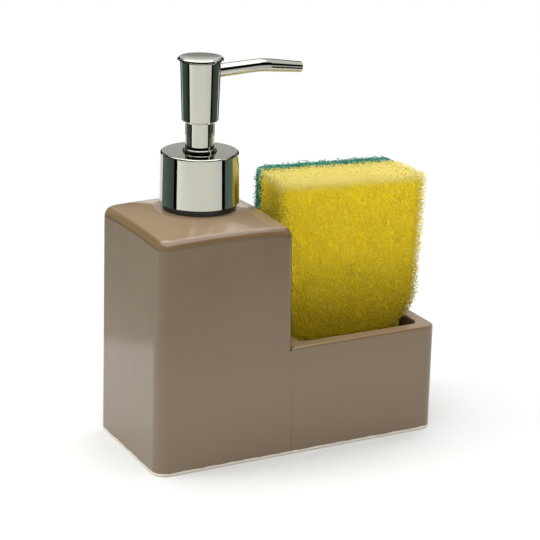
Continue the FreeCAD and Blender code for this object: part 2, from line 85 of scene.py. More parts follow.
# The sponge, in its own frame: X from its middle, Y from its middle, Z from the floor
SPONGE_X = 0.0304
SPONGE_TURN = math.radians(-7.4)
SPONGE_BOTTOM = 0.0063
SPONGE_TOP = 0.1117
SPONGE_LEFT = -0.0304
SPONGE_RIGHT = 0.0350
LEFT_SWELL = 0.0044
LEFT_SWELL_HEIGHT = 0.045
RIGHT_SLANT = 0.0024
RIGHT_BULGE = 0.0066
RIGHT_BULGE_HEIGHT = 0.014
SKEW_HEIGHT = 0.012
SKEW_SHIFT = -0.0009
SKEW_SLOPE = 0.107
FOAM_FRONT = -0.01515
PAD_FRONT = 0.0101
PAD_BACK = 0.01515

# Heights between which loose ends come free of the tray
TUCKED = (0.040, 0.052)

# Roughness of the sponge's two cores
GRAIN_SCALES = (900.0, 2100.0)
GRAIN_DEPTH = 0.0004
FACE_SHARPNESS = 9

# Foam: its core, and the size, place and looseness of the struts round it
FOAM_SEED = 11
CORE_INSET = 0.0014
CORE_RADIUS = 0.0036
CORE_STEP = 0.0011
CORE_OVERLAP = 0.0003
CELL = 0.0019
CELL_JITTER = 0.00026
NET_TILT = (0.5, 0.35, 0.8)
NET_FOOT = 0.0072
NET_MARGIN = 0.0006
NET_SINK = 0.0003
SKIN_RADIUS = 0.0012
STRUT_RADIUS = 0.00012
STRUT_SPREAD = (0.75, 1.3)
FRINGE = 0.0008
FRINGE_DEPTH = 0.0016
FRINGE_LEAST_SHARE = 0.05
FRINGE_FALL = 1.5
LOOSE_SHARE = 0.6
TUCKED_SHARE = 0.6
FRONT_BANDS = (("foot", 0.0, 0.041), ("middle", 0.041, 0.076), ("high", 0.076, 0.2))

# Scouring pad: its core, its rounded corners, and its fibres by face with their number and length
PAD_SEED = 23
PAD_INSET = 0.0007
PAD_RADIUS = 0.0012
PAD_STEP = 0.0012
PAD_CORE_SHADE = 0.45
PAD_LEFT_CORNER = 0.0022
PAD_RIGHT_CORNER = 0.0040
PAD_FIBRES = (
    ("back", 4200, 0.0080),
    ("top", 2200, 0.0022),
    ("left", 2800, 0.0022),
    ("right", 2800, 0.0022),
)
PAD_FRAY = 0.0010
TUCKED_FRAY = 0.1
FIBRE_FOOT = 0.0080
FIBRE_DEPTH = 0.0003
FIBRE_SCATTER = 0.0004
FIBRE_RADII = (0.00009, 0.00016)
FIBRE_POINTS = 6
FIBRE_REACH = (0.55, 1.15)
FIBRE_CURL = 0.6
FIBRE_LIFT = 0.7
FIBRE_WAVES = 9
FIBRE_WAVE_HEIGHTS = (0.0001, 0.0004)

# The photograph's camera: place in metres, heading, tilt and roll in degrees, lens in millimetres
CAMERA_PLACE = (-0.3493, -0.66425, 0.3141)
CAMERA_TURNS = (27.74, 17.92, -1.31)
CAMERA_SENSOR = 36.0
CAMERA_LENS = 124.5

# The floor, and the distances between which it turns white
FLOOR_RADIUS = 8
FLOOR_SIDES = 64
FLOOR_DROP = 0.0001
WHITE_FROM = 0.05
WHITE_AT = 0.4

# Cards round the pump: bearings in degrees from the camera's, heights and distances in metres
CAMERA_BEARING = 244.7
CARD_COLUMNS = 25
CARD_DISTANCE = 0.150
EDGE_DISTANCE = 0.148
CARD_FOOT = 0.068
CARD_MIDDLE = 0.097
CARD_TOP = 0.132
CARD_END = 0.235
EDGE_ANGLE = 64
NEAR_ANGLE = 72
FAR_ANGLE = 129
RIM_ANGLE = 137
END_ANGLE = 166
EDGE_OVERLAP = 3
CARD_SIDES = (("left", -1, 0.19, 64), ("right", 1, 0.43, 84))
LOW_TONE_RISE = 0.44
HIGH_TONE = 0.05
HIGH_TONE_RISE = 0.36
FOOT_CARD_ANGLES = (-98, -150)
FOOT_CARD_HEIGHTS = (0.001, 0.03, CARD_FOOT)
FRONT_CARD_ANGLES = (-75, 75)
FRONT_CARD_HEIGHTS = (0.22, 1.35)
FRONT_CARD_DISTANCE = 1.0
BACK_CARD_ANGLES = (110, 250)
BACK_CARD_HEIGHTS = (0.18, 0.3, 0.4, 0.5, 1.0)
BACK_CARD_DISTANCE = 1.1
BACK_CARD_DARK = 0.5
BACK_CARD_FADE = 0.32

# Lamps: name, place, size, watts, colour, and whether polished surfaces mirror them
LAMP_AIM = (0.0, 0.0, 0.07)
WHITE = (1.0, 1.0, 1.0)
LAMPS = (
    ("overhead", (-0.05, 0.0, 0.95), (1.4, 1.1), 8.4, WHITE, True),
    ("left_side", (-0.937, 0.25, 0.45), (0.5, 0.7), 6.3, (0.95, 1.0, 0.97), False),
    ("front_fill", (-0.15, -1.15, 0.5), (0.9, 0.6), 4.6, WHITE, False),
    ("right_side", (0.9, 0.35, 0.4), (0.6, 0.6), 3.0, WHITE, False),
)
AMBIENT_COLOUR = (1.0, 0.985, 0.96, 1.0)
AMBIENT_STRENGTH = 0.5

# Least length that is divided by
TINY = 1e-12


def srgb(red, green, blue):
    """A colour given as 0 to 255 on screen, as the linear colour that shaders take."""
    linear = []
    for value in (red, green, blue):
        share = value / 255
        linear.append(share / 12.92 if share <= 0.04045 else ((share + 0.055) / 1.055) ** 2.4)
    return (*linear, 1.0)


class Shader:
    """A material under construction: its node tree, its principled shader and short ways to add nodes."""

    def __init__(self, name):
        self.material = bpy.data.materials.new(name)
        self.material.use_nodes = True
        self.tree = self.material.node_tree
        self.tree.nodes.clear()
        self.output = self.tree.nodes.new("ShaderNodeOutputMaterial")
        self.bsdf = self.tree.nodes.new("ShaderNodeBsdfPrincipled")
        self.join(self.bsdf.outputs["BSDF"], self.output.inputs["Surface"])

    def join(self, source, target):
        self.tree.links.new(source, target)

    def feed(self, value, socket):
        """Links a socket's value, or sets a constant on the socket itself."""
        if isinstance(value, bpy.types.NodeSocket):
            self.join(value, socket)
        else:
            socket.default_value = value

    def set(self, **values):
        """Sets sockets of the principled shader, with _ for the spaces in their names."""
        for name, value in values.items():
            self.feed(value, self.bsdf.inputs[name.replace("_", " ")])

    def add(self, kind, **inputs):
        node = self.tree.nodes.new("ShaderNode" + kind)
        for name, value in inputs.items():
            self.feed(value, node.inputs[name.replace("_", " ")])
        return node

    def place(self):
        """The point in the part's frame."""
        return self.add("TexCoord").outputs["Object"]

    def height(self):
        return self.add("SeparateXYZ", Vector=self.place()).outputs["Z"]

    def shade(self):
        """The tone that the mesh gives to each of its points, from 0 to 1."""
        node = self.add("Attribute")
        node.attribute_name = "shade"
        return node.outputs["Fac"]

    def noise(self, scale, detail=2.0, roughness=0.5):
        node = self.add("TexNoise", Scale=scale, Detail=detail, Roughness=roughness)
        self.join(self.place(), node.inputs["Vector"])
        return node.outputs["Fac"]

    def math(self, operation, a, b):
        node = self.add("Math")
        node.operation = operation
        for socket, value in zip(node.inputs, (a, b)):
            self.feed(value, socket)
        return node.outputs[0]

    def ramp(self, value, low, high, to_low=0.0, to_high=1.0, smooth=True):
        """value moved from the range low to high into the range to_low to to_high."""
        node = self.add("MapRange", Value=value)
        node.interpolation_type = "SMOOTHSTEP" if smooth else "LINEAR"
        for name, number in zip(("From Min", "From Max", "To Min", "To Max"), (low, high, to_low, to_high)):
            node.inputs[name].default_value = number
        return node.outputs["Result"]

    def mix(self, share, a, b):
        """Colour a where share is 0, and b where it is 1."""
        node = self.add("Mix")
        node.data_type = "RGBA"
        for socket, value in zip((node.inputs[0], node.inputs[6], node.inputs[7]), (share, a, b)):
            self.feed(value, socket)
        return node.outputs[2]

    def bump(self, height, strength, distance):
        node = self.add("Bump", Strength=strength, Distance=distance, Height=height)
        self.join(node.outputs["Normal"], self.bsdf.inputs["Normal"])


def glaze():
    """Taupe glaze: drifting tone, paler on upward faces as painted light from above, darker towards the top
    as painted light from the floor's bounce, brown on edges, bare clay at the foot.
    """
    s = Shader("taupe_glaze")
    drift = s.noise(28.0, 3.0)
    fine = s.noise(700.0, 2.0)
    height = s.height()
    # Paler towards the foot and darker towards the top: painted light from the floor's bounce.
    colour = s.mix(s.ramp(height, 0.02, 0.10), srgb(110, 92, 72), srgb(87, 68, 42))
    colour = s.mix(s.ramp(drift, 0.3, 0.7, 0.0, 0.35), colour, srgb(108, 90, 66))
    upward = s.add("SeparateXYZ", Vector=s.add("NewGeometry").outputs["Normal"]).outputs["Z"]
    # Paler on upward faces: painted light from above.
    painted_top_light = s.ramp(upward, 0.72, 0.95)
    colour = s.mix(painted_top_light, colour, srgb(150, 128, 103))
    colour = s.mix(s.ramp(fine, 0.55, 0.8, 0.0, 0.2), colour, srgb(98, 79, 57))
    rising = s.ramp(upward, 0.15, 0.4)
    falling = s.ramp(upward, 0.94, 0.78)
    edge = s.math("MULTIPLY", s.math("MULTIPLY", rising, falling), 0.6)
    colour = s.mix(edge, colour, srgb(122, 96, 69))
    wander = s.math("MULTIPLY", s.noise(160.0, 2.0), 0.0009)
    foot = s.ramp(s.math("SUBTRACT", height, wander), 0.0011, 0.0007)
    colour = s.mix(foot, colour, srgb(205, 198, 184))
    gloss = s.ramp(s.noise(60.0, 3.0), 0.3, 0.7, 0.1, 0.16)
    roughness = s.math("MAXIMUM", gloss, s.math("MULTIPLY", foot, 0.8))
    s.set(Base_Color=colour, Roughness=roughness, IOR=1.6)
    s.bump(s.noise(55.0, 2.0), 0.1, 0.002)
    return s.material


def chrome():
    """Bright plating with faint wiping marks."""
    s = Shader("bright_chrome")
    colour = s.mix(s.noise(90.0, 3.0), srgb(181, 180, 169), srgb(187, 186, 175))
    marks = s.ramp(s.noise(240.0, 4.0), 0.35, 0.75, 0.025, 0.06)
    s.set(Metallic=1.0, Base_Color=colour, Roughness=marks)
    return s.material


def moulded(name, low, high, roughness, grain):
    """Moulded plastic or rubber with a slight grain."""
    s = Shader(name)
    colour = s.mix(s.noise(180.0, 3.0), low, high)
    matt = s.ramp(s.noise(900.0), 0.3, 0.7, roughness, roughness + 0.12)
    s.set(Base_Color=colour, Roughness=matt)
    s.bump(s.noise(grain), 0.15, 0.0003)
    return s.material


def spring_steel():
    """Metal with a fine grain."""
    s = Shader("spring_steel")
    colour = s.mix(s.noise(600.0, 4.0), srgb(150, 150, 150), srgb(190, 190, 188))
    marks = s.ramp(s.noise(1500.0, 3.0), 0.3, 0.7, 0.22, 0.4)
    s.set(Metallic=1.0, Base_Color=colour, Roughness=marks)
    return s.material


def foam(name, deep, bright, speckle):
    """Open-cell foam: tone by the points' shade, with painted shade darkening it towards the foot and
    painted light making it pale on top.
    """
    s = Shader(name)
    tone = s.mix(s.shade(), deep, bright)
    cells = s.ramp(s.noise(1100.0, 3.0, 0.7), 0.35, 0.65)
    tone = s.mix(s.math("MULTIPLY", cells, speckle), tone, srgb(170, 136, 8))
    height = s.height()
    # Darker and more olive lower down: painted shade where the tray and the struts shut out light.
    tone = s.mix(s.ramp(height, 0.108, 0.066, 0.0, 0.34, False), tone, srgb(190, 158, 6))
    tone = s.mix(s.ramp(height, 0.084, 0.046, 0.0, 0.62), tone, srgb(134, 104, 6))
    # Pale on the top face: painted light from above.
    tone = s.mix(s.ramp(height, 0.1068, 0.1110, 0.0, 0.5), tone, srgb(255, 246, 178))
    s.set(Base_Color=tone, Roughness=0.75, Specular_IOR_Level=0.15)
    s.set(Subsurface_Weight=0.3, Subsurface_Radius=(0.006, 0.005, 0.001), Subsurface_Scale=0.5)
    s.bump(s.noise(1500.0, 3.0, 0.7), 0.4, 0.0006)
    return s.material


def scouring_fibre():
    """Green non-woven fibre: dark body, and pale strands that are painted highlights."""
    s = Shader("scouring_fibre")
    shade = s.shade()
    tone = s.mix(s.ramp(shade, 0.0, 0.75), srgb(16, 96, 76), srgb(58, 160, 130))
    # Some strands pale towards white: painted highlights on the fibres.
    tone = s.mix(s.ramp(shade, 0.82, 1.0), tone, srgb(176, 232, 210))
    matt = s.ramp(s.noise(800.0), 0.3, 0.7, 0.45, 0.7)
    s.set(Base_Color=tone, Roughness=matt)
    s.bump(s.noise(1200.0, 3.0), 0.5, 0.0005)
    return s.material


def mesh_piece(name, points, faces, material, body, shade=None):
    """A new piece of the object from points and faces in the part's frame."""
    mesh = bpy.data.meshes.new(name)
    points = np.asarray(points, np.float32)
    faces = np.asarray(faces, np.int32)
    corners = faces.shape[1]
    mesh.vertices.add(len(points))
    mesh.vertices.foreach_set("co", points.ravel())
    mesh.loops.add(faces.size)
    mesh.loops.foreach_set("vertex_index", faces.ravel())
    mesh.polygons.add(len(faces))
    mesh.polygons.foreach_set("loop_start", np.arange(0, faces.size, corners, dtype=np.int32))
    mesh.polygons.foreach_set("loop_total", np.full(len(faces), corners, np.int32))
    mesh.update(calc_edges=True)
    if shade is not None:
        attribute = mesh.attributes.new("shade", "FLOAT", "POINT")
        attribute.data.foreach_set("value", np.asarray(shade, np.float32))
    mesh.validate()
    mesh.materials.append(material)
    piece = bpy.data.objects.new(name, mesh)
    scene.collection.objects.link(piece)
    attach(piece, body)
    return piece


def sponge_sides(z):
    """The sponge's left and right sides at height z, in its own frame: squeezed low, swollen above."""
    below = np.clip(TRAY_HEIGHT + LEFT_SWELL_HEIGHT - z, 0.0, LEFT_SWELL_HEIGHT)
    radius = (LEFT_SWELL ** 2 + LEFT_SWELL_HEIGHT ** 2) / (2 * LEFT_SWELL)
    left = SPONGE_LEFT + radius - np.sqrt(radius ** 2 - below ** 2)
    above = np.clip(z - TRAY_HEIGHT, 0.0, None)
    slant = np.clip(1 - above / (SPONGE_TOP - TRAY_HEIGHT), 0.0, 1.0)
    bulge = np.clip(1 - above / RIGHT_BULGE_HEIGHT, 0.0, 1.0) ** 3
    return left, SPONGE_RIGHT - RIGHT_SLANT * slant - RIGHT_BULGE * bulge


def stand_sponge(points):
    """Points of the sponge's own frame in the part's frame, with its right side skewed above the tray."""
    x, y, z = points[..., 0], points[..., 1], points[..., 2]
    left, right = sponge_sides(z)
    free = np.clip((z - TRAY_HEIGHT) / SKEW_HEIGHT, 0.0, 1.0)
    x = x + (x - left) / (right - left) * free * (SKEW_SHIFT - SKEW_SLOPE * y)
    c, s = math.cos(SPONGE_TURN), math.sin(SPONGE_TURN)
    return np.stack([SPONGE_X + c * x - s * y, s * x + c * y, z], -1)


def rounded_block(half, radius, step):
    """A closed block round the origin with rounded edges, as points and four-sided faces."""
    counts = [max(2, round(2 * h / step)) for h in half]
    index = {}
    points = []
    faces = []

    def point(key):
        if key not in index:
            index[key] = len(points)
            points.append([-h + 2 * h * k / n for h, k, n in zip(half, key, counts)])
        return index[key]

    for axis in range(3):
        a, b = (axis + 1) % 3, (axis + 2) % 3
        for end in (0, counts[axis]):
            for i in range(counts[a]):
                for j in range(counts[b]):
                    corners = []
                    for di, dj in ((0, 0), (1, 0), (1, 1), (0, 1)):
                        key = [0, 0, 0]
                        key[axis], key[a], key[b] = end, i + di, j + dj
                        corners.append(point(tuple(key)))
                    faces.append(corners if end else corners[::-1])
    points = np.array(points)
    inner = np.array(half) - radius
    nearest = np.clip(points, -inner, inner)
    out = points - nearest
    length = np.linalg.norm(out, axis=1, keepdims=True)
    return nearest + out / np.maximum(length, TINY) * radius, np.array(faces)


def sponge_slab(y_range, inset, back_inset, radius, step):
    """A slab of the sponge that follows its swollen sides, set in from them and roughened."""
    y0 = y_range[0] + inset
    y1 = y_range[1] - back_inset
    z1 = SPONGE_TOP - inset
    half = ((SPONGE_RIGHT - SPONGE_LEFT) / 2 - inset, (y1 - y0) / 2, (z1 - SPONGE_BOTTOM) / 2)
    block, faces = rounded_block(half, radius, step)
    z = block[:, 2] + (SPONGE_BOTTOM + z1) / 2
    left, right = sponge_sides(z)
    x = (left + right) / 2 + block[:, 0] / half[0] * ((right - left) / 2 - inset)
    points = np.stack([x, block[:, 1] + (y0 + y1) / 2, z], 1)
    centre = np.array([(SPONGE_LEFT + SPONGE_RIGHT) / 2, (y0 + y1) / 2, (SPONGE_BOTTOM + z1) / 2])
    away = (points - centre) / np.array(half)
    away = np.sign(away) * np.abs(away) ** FACE_SHARPNESS
    away /= np.maximum(np.linalg.norm(away, axis=1, keepdims=True), TINY)
    grain = np.array([sum(noise.noise(Vector(p) * scale) for scale in GRAIN_SCALES) for p in points])
    points = points + away * (grain * GRAIN_DEPTH)[:, None]
    # The tone follows the grain, darker where the grain presses points in: painted shade in the dents.
    return stand_sponge(points), faces, np.clip(0.5 + grain, 0.0, 1.0)


def strands(lines, radii):
    """Closed three-sided strands along lines of points, as points and triangles."""
    count, steps = lines.shape[:2]
    along = np.gradient(lines, axis=1)
    along /= np.maximum(np.linalg.norm(along, axis=2, keepdims=True), TINY)
    level = np.abs(along[:, :1, 2:3]) < 0.8
    helper = np.where(level, [[[0.0, 0.0, 1.0]]], [[[1.0, 0.0, 0.0]]])
    side = np.cross(along, helper)
    side /= np.maximum(np.linalg.norm(side, axis=2, keepdims=True), TINY)
    other = np.cross(along, side)
    corners = []
    for turn in range(3):
        angle = 2 * math.pi * turn / 3
        corners.append(lines + (side * math.cos(angle) + other * math.sin(angle)) * radii[:, None, None])
    points = np.stack(corners, 2).reshape(-1, 3)
    pattern = [(0, 2, 1)]
    for step in range(steps - 1):
        for k in range(3):
            a, b = 3 * step + k, 3 * step + (k + 1) % 3
            pattern += [(a, b, b + 3), (a, b + 3, a + 3)]
    last = 3 * (steps - 1)
    pattern.append((last, last + 1, last + 2))
    first = np.arange(count)[:, None, None] * 3 * steps
    return points, (first + np.array(pattern)[None]).reshape(-1, 3)


def depth_in(points, inset, radius, fringe=0.0):
    """How deep points lie under the foam's rounded skin, set in by inset, with the pad's side left open."""
    left, right = sponge_sides(points[:, 2])
    free = np.interp(points[:, 2], TUCKED, (0.0, 1.0))
    gaps = np.stack([
        np.minimum(points[:, 0] - left, right + free * fringe - points[:, 0]),
        points[:, 1] - FOAM_FRONT,
        SPONGE_TOP - points[:, 2],
    ], 1) - inset
    short = np.maximum(radius - gaps, 0.0)
    return radius - np.linalg.norm(short, axis=1)


def in_layer(points, margin):
    """Which points lie between the foam's core and its skin, or as near to that layer as margin."""
    skin = depth_in(points, 0.0, SKIN_RADIUS, FRINGE)
    core = depth_in(points, CORE_INSET, CORE_RADIUS)
    inside = (skin > -margin) & (core < margin + NET_SINK)
    return inside & (points[:, 1] < PAD_FRONT + margin) & (points[:, 2] > NET_FOOT - margin)


def cell_corners(centres):
    """The corners of the foam's cells round their centres, each once, in quarters of a cell."""
    corners = []
    for zero in range(3):
        for one in (-1, 1):
            for two in (-2, 2):
                for order in ((one, two), (two, one)):
                    corner = np.zeros(3, int)
                    corner[[(zero + 1) % 3, (zero + 2) % 3]] = order
                    corners.append(centres + corner)
    return np.unique(np.concatenate(corners), axis=0)


def neighbours(corners, reach):
    """Pairs of corners that an edge of a cell joins, as indices."""
    base = 8 * reach + 64
    codes = (corners[:, 0] * base + corners[:, 1]) * base + corners[:, 2]
    order = np.argsort(codes)
    pairs = []
    for dx, dy, dz in ((0, 1, 1), (0, 1, -1), (1, 0, 1), (1, 0, -1), (1, 1, 0), (1, -1, 0)):
        wanted = codes + (dx * base + dy) * base + dz
        found = np.clip(np.searchsorted(codes[order], wanted), 0, len(codes) - 1)
        match = order[found]
        hit = codes[match] == wanted
        pairs.append(np.stack([np.nonzero(hit)[0], match[hit]], 1))
    return np.concatenate(pairs)


def foam_struts(rng):
    """Struts of an open-cell foam in the sponge's outer layer: pairs of points in its own frame."""
    unit = CELL / 4
    tilt = np.array(Euler(NET_TILT).to_matrix())
    low = np.array([SPONGE_LEFT, FOAM_FRONT, NET_FOOT])
    high = np.array([SPONGE_RIGHT, PAD_FRONT, SPONGE_TOP])
    middle = (low + high) / 2
    reach = int(np.linalg.norm(high - low) / 2 / CELL) + 1
    steps = np.arange(-reach, reach + 1)
    grid = np.stack(np.meshgrid(steps, steps, steps, indexing="ij"), -1).reshape(-1, 3) * 4
    centres = np.concatenate([grid, grid + 2])
    centres = centres[in_layer(middle + centres @ tilt.T * unit, CELL)]
    corners = cell_corners(centres)
    places = middle + corners @ tilt.T * unit + rng.normal(0.0, CELL_JITTER, corners.shape)
    kept = in_layer(places, NET_MARGIN)
    corners, places = corners[kept], places[kept]
    pairs = neighbours(corners, reach)
    under = depth_in(places, 0.0, SKIN_RADIUS, FRINGE)[pairs] > 0
    loose = rng.random(len(pairs)) < LOOSE_SHARE
    pairs = pairs[under.all(1) | (under.any(1) & loose)]
    middle = places[pairs].mean(1)
    from_edge = sponge_sides(middle[:, 2])[1] + FRINGE - middle[:, 0]
    share = np.interp(middle[:, 2], TUCKED, (TUCKED_SHARE, 1.0))
    share = share * np.clip(from_edge / FRINGE_DEPTH, FRINGE_LEAST_SHARE, 1.0) ** FRINGE_FALL
    return places[pairs[rng.random(len(pairs)) < share]]


def build_foam():
    """The foam: a rough core, and round it an open net of struts that frays at the edges."""
    core_look = foam("foam_core", srgb(255, 224, 12), srgb(255, 234, 40), 0.16)
    net_look = foam("foam_net", srgb(255, 228, 28), srgb(255, 240, 84), 0.0)
    y_range = (FOAM_FRONT, PAD_FRONT)
    points, faces, shade = sponge_slab(y_range, CORE_INSET, -CORE_OVERLAP, CORE_RADIUS, CORE_STEP)
    core = mesh_piece("sponge_core", points, faces, core_look, "sponge", shade)
    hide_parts("sponge_foam")
    rng = np.random.default_rng(FOAM_SEED)
    struts = foam_struts(rng)
    radii = STRUT_RADIUS * rng.uniform(*STRUT_SPREAD, len(struts))
    shade = rng.random(len(struts))
    x, y, z = struts.mean(1).T
    left, right = sponge_sides(z)
    nearest = np.argmin(np.stack([y - FOAM_FRONT, SPONGE_TOP - z, x - left, right - x], 1), 1)
    groups = [(name, nearest == number) for number, name in ((1, "top"), (2, "left"), (3, "right"))]
    for name, start, end in FRONT_BANDS:
        groups.append(("front_" + name, (nearest == 0) & (z >= start) & (z < end)))
    for name, chosen in groups:
        points, faces = strands(stand_sponge(struts[chosen]), radii[chosen])
        tone = np.repeat(shade[chosen], 6)
        piece = mesh_piece("sponge_net_" + name, points, faces, net_look, "sponge", tone)


def round_corners(points):
    """Pad points with the two upper corners of its outline rounded."""
    points = points.copy()
    left, right = sponge_sides(points[..., 2])
    for side, edge, radius in ((-1, left, PAD_LEFT_CORNER), (1, right, PAD_RIGHT_CORNER)):
        over_x = side * (points[..., 0] - edge) + radius
        over_z = points[..., 2] - SPONGE_TOP + radius
        length = np.hypot(over_x, over_z)
        outside = (over_x > 0) & (over_z > 0) & (length > radius)
        pull = np.where(outside, 1 - radius / np.maximum(length, TINY), 0.0)
        points[..., 0] -= side * over_x * pull
        points[..., 2] -= over_z * pull
    return points


def pad_fibre(rng, face, length):
    """A curled fibre that lies on one face of the pad, as points in the sponge's own frame."""
    turn = rng.uniform(0, 2 * math.pi)
    ahead, aside = math.cos(turn), math.sin(turn)
    z = SPONGE_TOP if face == "top" else rng.uniform(FIBRE_FOOT, SPONGE_TOP)
    left, right = sponge_sides(np.array(z))
    x = rng.uniform(left, right)
    y = rng.uniform(PAD_FRONT, PAD_BACK)
    sunk = FIBRE_DEPTH + rng.uniform(-FIBRE_SCATTER, FIBRE_SCATTER)
    if face == "back":
        place, out = (x, PAD_BACK - sunk, z), (0, 1, 0)
        along, across = (ahead, 0, aside), (-aside, 0, ahead)
    elif face == "top":
        place, out = (x, y, z - sunk), (0, 0, 1)
        along, across = (ahead, aside / 2, 0), (-aside, ahead, 0)
    else:
        side, edge = (-1, left) if face == "left" else (1, right)
        place, out = (edge - side * sunk, y, z), (side, 0, 0)
        along, across = (0, ahead / 2, aside), (0, -aside, ahead)
    t = np.linspace(-0.5, 0.5, FIBRE_POINTS)[:, None]
    reach = length * rng.uniform(*FIBRE_REACH)
    curl = reach * rng.uniform(-FIBRE_CURL, FIBRE_CURL)
    wave = np.sin(t * FIBRE_WAVES + rng.uniform(0, 2 * math.pi)) * rng.uniform(*FIBRE_WAVE_HEIGHTS)
    lift = t * reach * rng.uniform(0.0, FIBRE_LIFT)
    line = np.array(place) + np.array(along) * t * reach + np.array(across) * t ** 2 * curl
    line += np.array(out) * (wave + lift)
    line_left, line_right = sponge_sides(line[:, 2])
    fray = PAD_FRAY * np.interp(line[:, 2], TUCKED, (TUCKED_FRAY, 1.0))
    line[:, 0] = np.clip(line[:, 0], line_left - fray, line_right + fray)
    line[:, 1] = np.clip(line[:, 1], PAD_FRONT, PAD_BACK + PAD_FRAY)
    line[:, 2] = np.clip(line[:, 2], SPONGE_BOTTOM + FIBRE_DEPTH, SPONGE_TOP + PAD_FRAY)
    return line


def build_pad():
    """The scouring pad: a dark core under a mat of curled fibres."""
    look = scouring_fibre()
    y_range = (PAD_FRONT, PAD_BACK)
    points, faces, shade = sponge_slab(y_range, PAD_INSET, PAD_INSET, PAD_RADIUS, PAD_STEP)
    core = mesh_piece("pad_core", points, faces, look, "sponge", shade * PAD_CORE_SHADE)
    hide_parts("scouring_pad")
    rng = np.random.default_rng(PAD_SEED)
    for face, count, length in PAD_FIBRES:
        lines = round_corners(np.array([pad_fibre(rng, face, length) for _ in range(count)]))
        points, faces = strands(stand_sponge(lines), rng.uniform(*FIBRE_RADII, count))
        tone = np.repeat(rng.random(count), 3 * FIBRE_POINTS)
        mat = mesh_piece("pad_fibres_" + face, points, faces, look, "sponge", tone)


def seam_strip(name, side, look):
    """Glaze that fills the seam between bottle and tray almost flush, and opens towards the foot."""
    across = np.linspace(-SEAM_HALF_WIDTH, SEAM_HALF_WIDTH, SEAM_COLUMNS)
    heights = np.linspace(SEAM_FOOT, TRAY_HEIGHT - SEAM_TOP_GAP, SEAM_ROWS)
    points = []
    for z in heights:
        wander = noise.noise(Vector((0.0, side, z * SEAM_WANDER_SCALE)))
        open_depth = np.interp(z, SEAM_HEIGHTS, SEAM_DEPTHS)
        sag = max(open_depth * (1 + SEAM_WANDER * wander), SEAM_LEAST_SAG)
        over = max(z - TRAY_HEIGHT + RIM_RADIUS, 0.0)
        sag_of_rim = RIM_RADIUS - math.sqrt(RIM_RADIUS ** 2 - over ** 2)
        for x in across:
            y = HALF_DEPTH - SEAM_INSET - sag_of_rim - sag * (1 - (x / SEAM_HALF_WIDTH) ** 2)
            points.append((SEAM_X + x, side * y, z))
    front = len(points)
    points += [(x, side * (HALF_DEPTH - SEAM_BACK_DEPTH), z) for x, y, z in points]
    faces = []
    for i in range(SEAM_ROWS - 1):
        for j in range(SEAM_COLUMNS - 1):
            a = i * SEAM_COLUMNS + j
            quad = (a, a + 1, a + 1 + SEAM_COLUMNS, a + SEAM_COLUMNS)
            faces.append(quad)
            faces.append(tuple(front + k for k in reversed(quad)))
    top = (SEAM_ROWS - 1) * SEAM_COLUMNS
    for j in range(SEAM_COLUMNS - 1):
        faces.append((j + 1, j, front + j, front + j + 1))
        faces.append((top + j, top + j + 1, front + top + j + 1, front + top + j))
    for i in range(SEAM_ROWS - 1):
        a = i * SEAM_COLUMNS
        b = a + SEAM_COLUMNS - 1
        faces.append((a, a + SEAM_COLUMNS, front + a + SEAM_COLUMNS, front + a))
        faces.append((b + SEAM_COLUMNS, b, front + b, front + b + SEAM_COLUMNS))
    if side > 0:
        faces = [tuple(reversed(face)) for face in faces]
    strip = mesh_piece(name, points, faces, look, "caddy")
    strip.data.shade_smooth()


def build_spring(look):
    """The return spring as a piece of its own."""
    low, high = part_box("return_spring")
    middle = np.array([(low.x + high.x) / 2, (low.y + high.y) / 2, 0.0])
    radius = (high.x - low.x) / 2 - SPRING_WIRE_RADIUS
    rings = SPRING_TURNS * SPRING_STEPS + 1
    angle = np.linspace(0.0, 2 * math.pi * SPRING_TURNS, rings)
    height = np.linspace(low.z + SPRING_WIRE_RADIUS, high.z - SPRING_WIRE_RADIUS, rings)
    rise = np.full(rings, (height[-1] - height[0]) / angle[-1])
    flat = np.zeros(rings)
    out = np.stack([np.cos(angle), np.sin(angle), flat], 1)
    along = np.stack([-radius * np.sin(angle), radius * np.cos(angle), rise], 1)
    along /= np.linalg.norm(along, axis=1, keepdims=True)
    up = np.cross(along, out)
    centres = middle + out * radius + np.stack([flat, flat, height], 1)
    turns = np.arange(WIRE_SIDES) * 2 * math.pi / WIRE_SIDES
    points = [centres + SPRING_WIRE_RADIUS * (out * math.cos(t) + up * math.sin(t)) for t in turns]
    points = np.stack(points, 1).reshape(-1, 3)
    faces = []
    for ring in range(rings - 1):
        for side in range(WIRE_SIDES):
            a = ring * WIRE_SIDES + side
            b = ring * WIRE_SIDES + (side + 1) % WIRE_SIDES
            faces.append((a, b, b + WIRE_SIDES, a + WIRE_SIDES))
    last = (rings - 1) * WIRE_SIDES
    for a, b, c, d in ((0, 1, 2, 3), (0, 3, 4, 7), (4, 5, 6, 7)):
        faces.append((d, c, b, a))
        faces.append((last + a, last + b, last + c, last + d))
    spring = mesh_piece("spring_coil", points, faces, look, "pump_unit")
    spring.data.shade_smooth()
    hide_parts("return_spring")
    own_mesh(spring)


def photo_camera():
    """The photograph's camera: place, heading, tilt and lens."""
    yaw, pitch, roll = (math.radians(angle) for angle in CAMERA_TURNS)
    forward = Vector((math.sin(yaw) * math.cos(pitch), math.cos(yaw) * math.cos(pitch), -math.sin(pitch)))
    right = Vector((math.cos(yaw), -math.sin(yaw), 0.0))
    down = forward.cross(right)
    tilted_right = right * math.cos(roll) + down * math.sin(roll)
    tilted_down = down * math.cos(roll) - right * math.sin(roll)
    matrix = Matrix((tilted_right, -tilted_down, -forward)).transposed().to_4x4()
    matrix.translation = Vector(CAMERA_PLACE)
    data = bpy.data.cameras.new("photo_camera")
    data.sensor_width = CAMERA_SENSOR
    data.lens = CAMERA_LENS
    camera = bpy.data.objects.new("photo_camera", data)
    camera.matrix_world = matrix
    scene.collection.objects.link(camera)
    scene.camera = camera


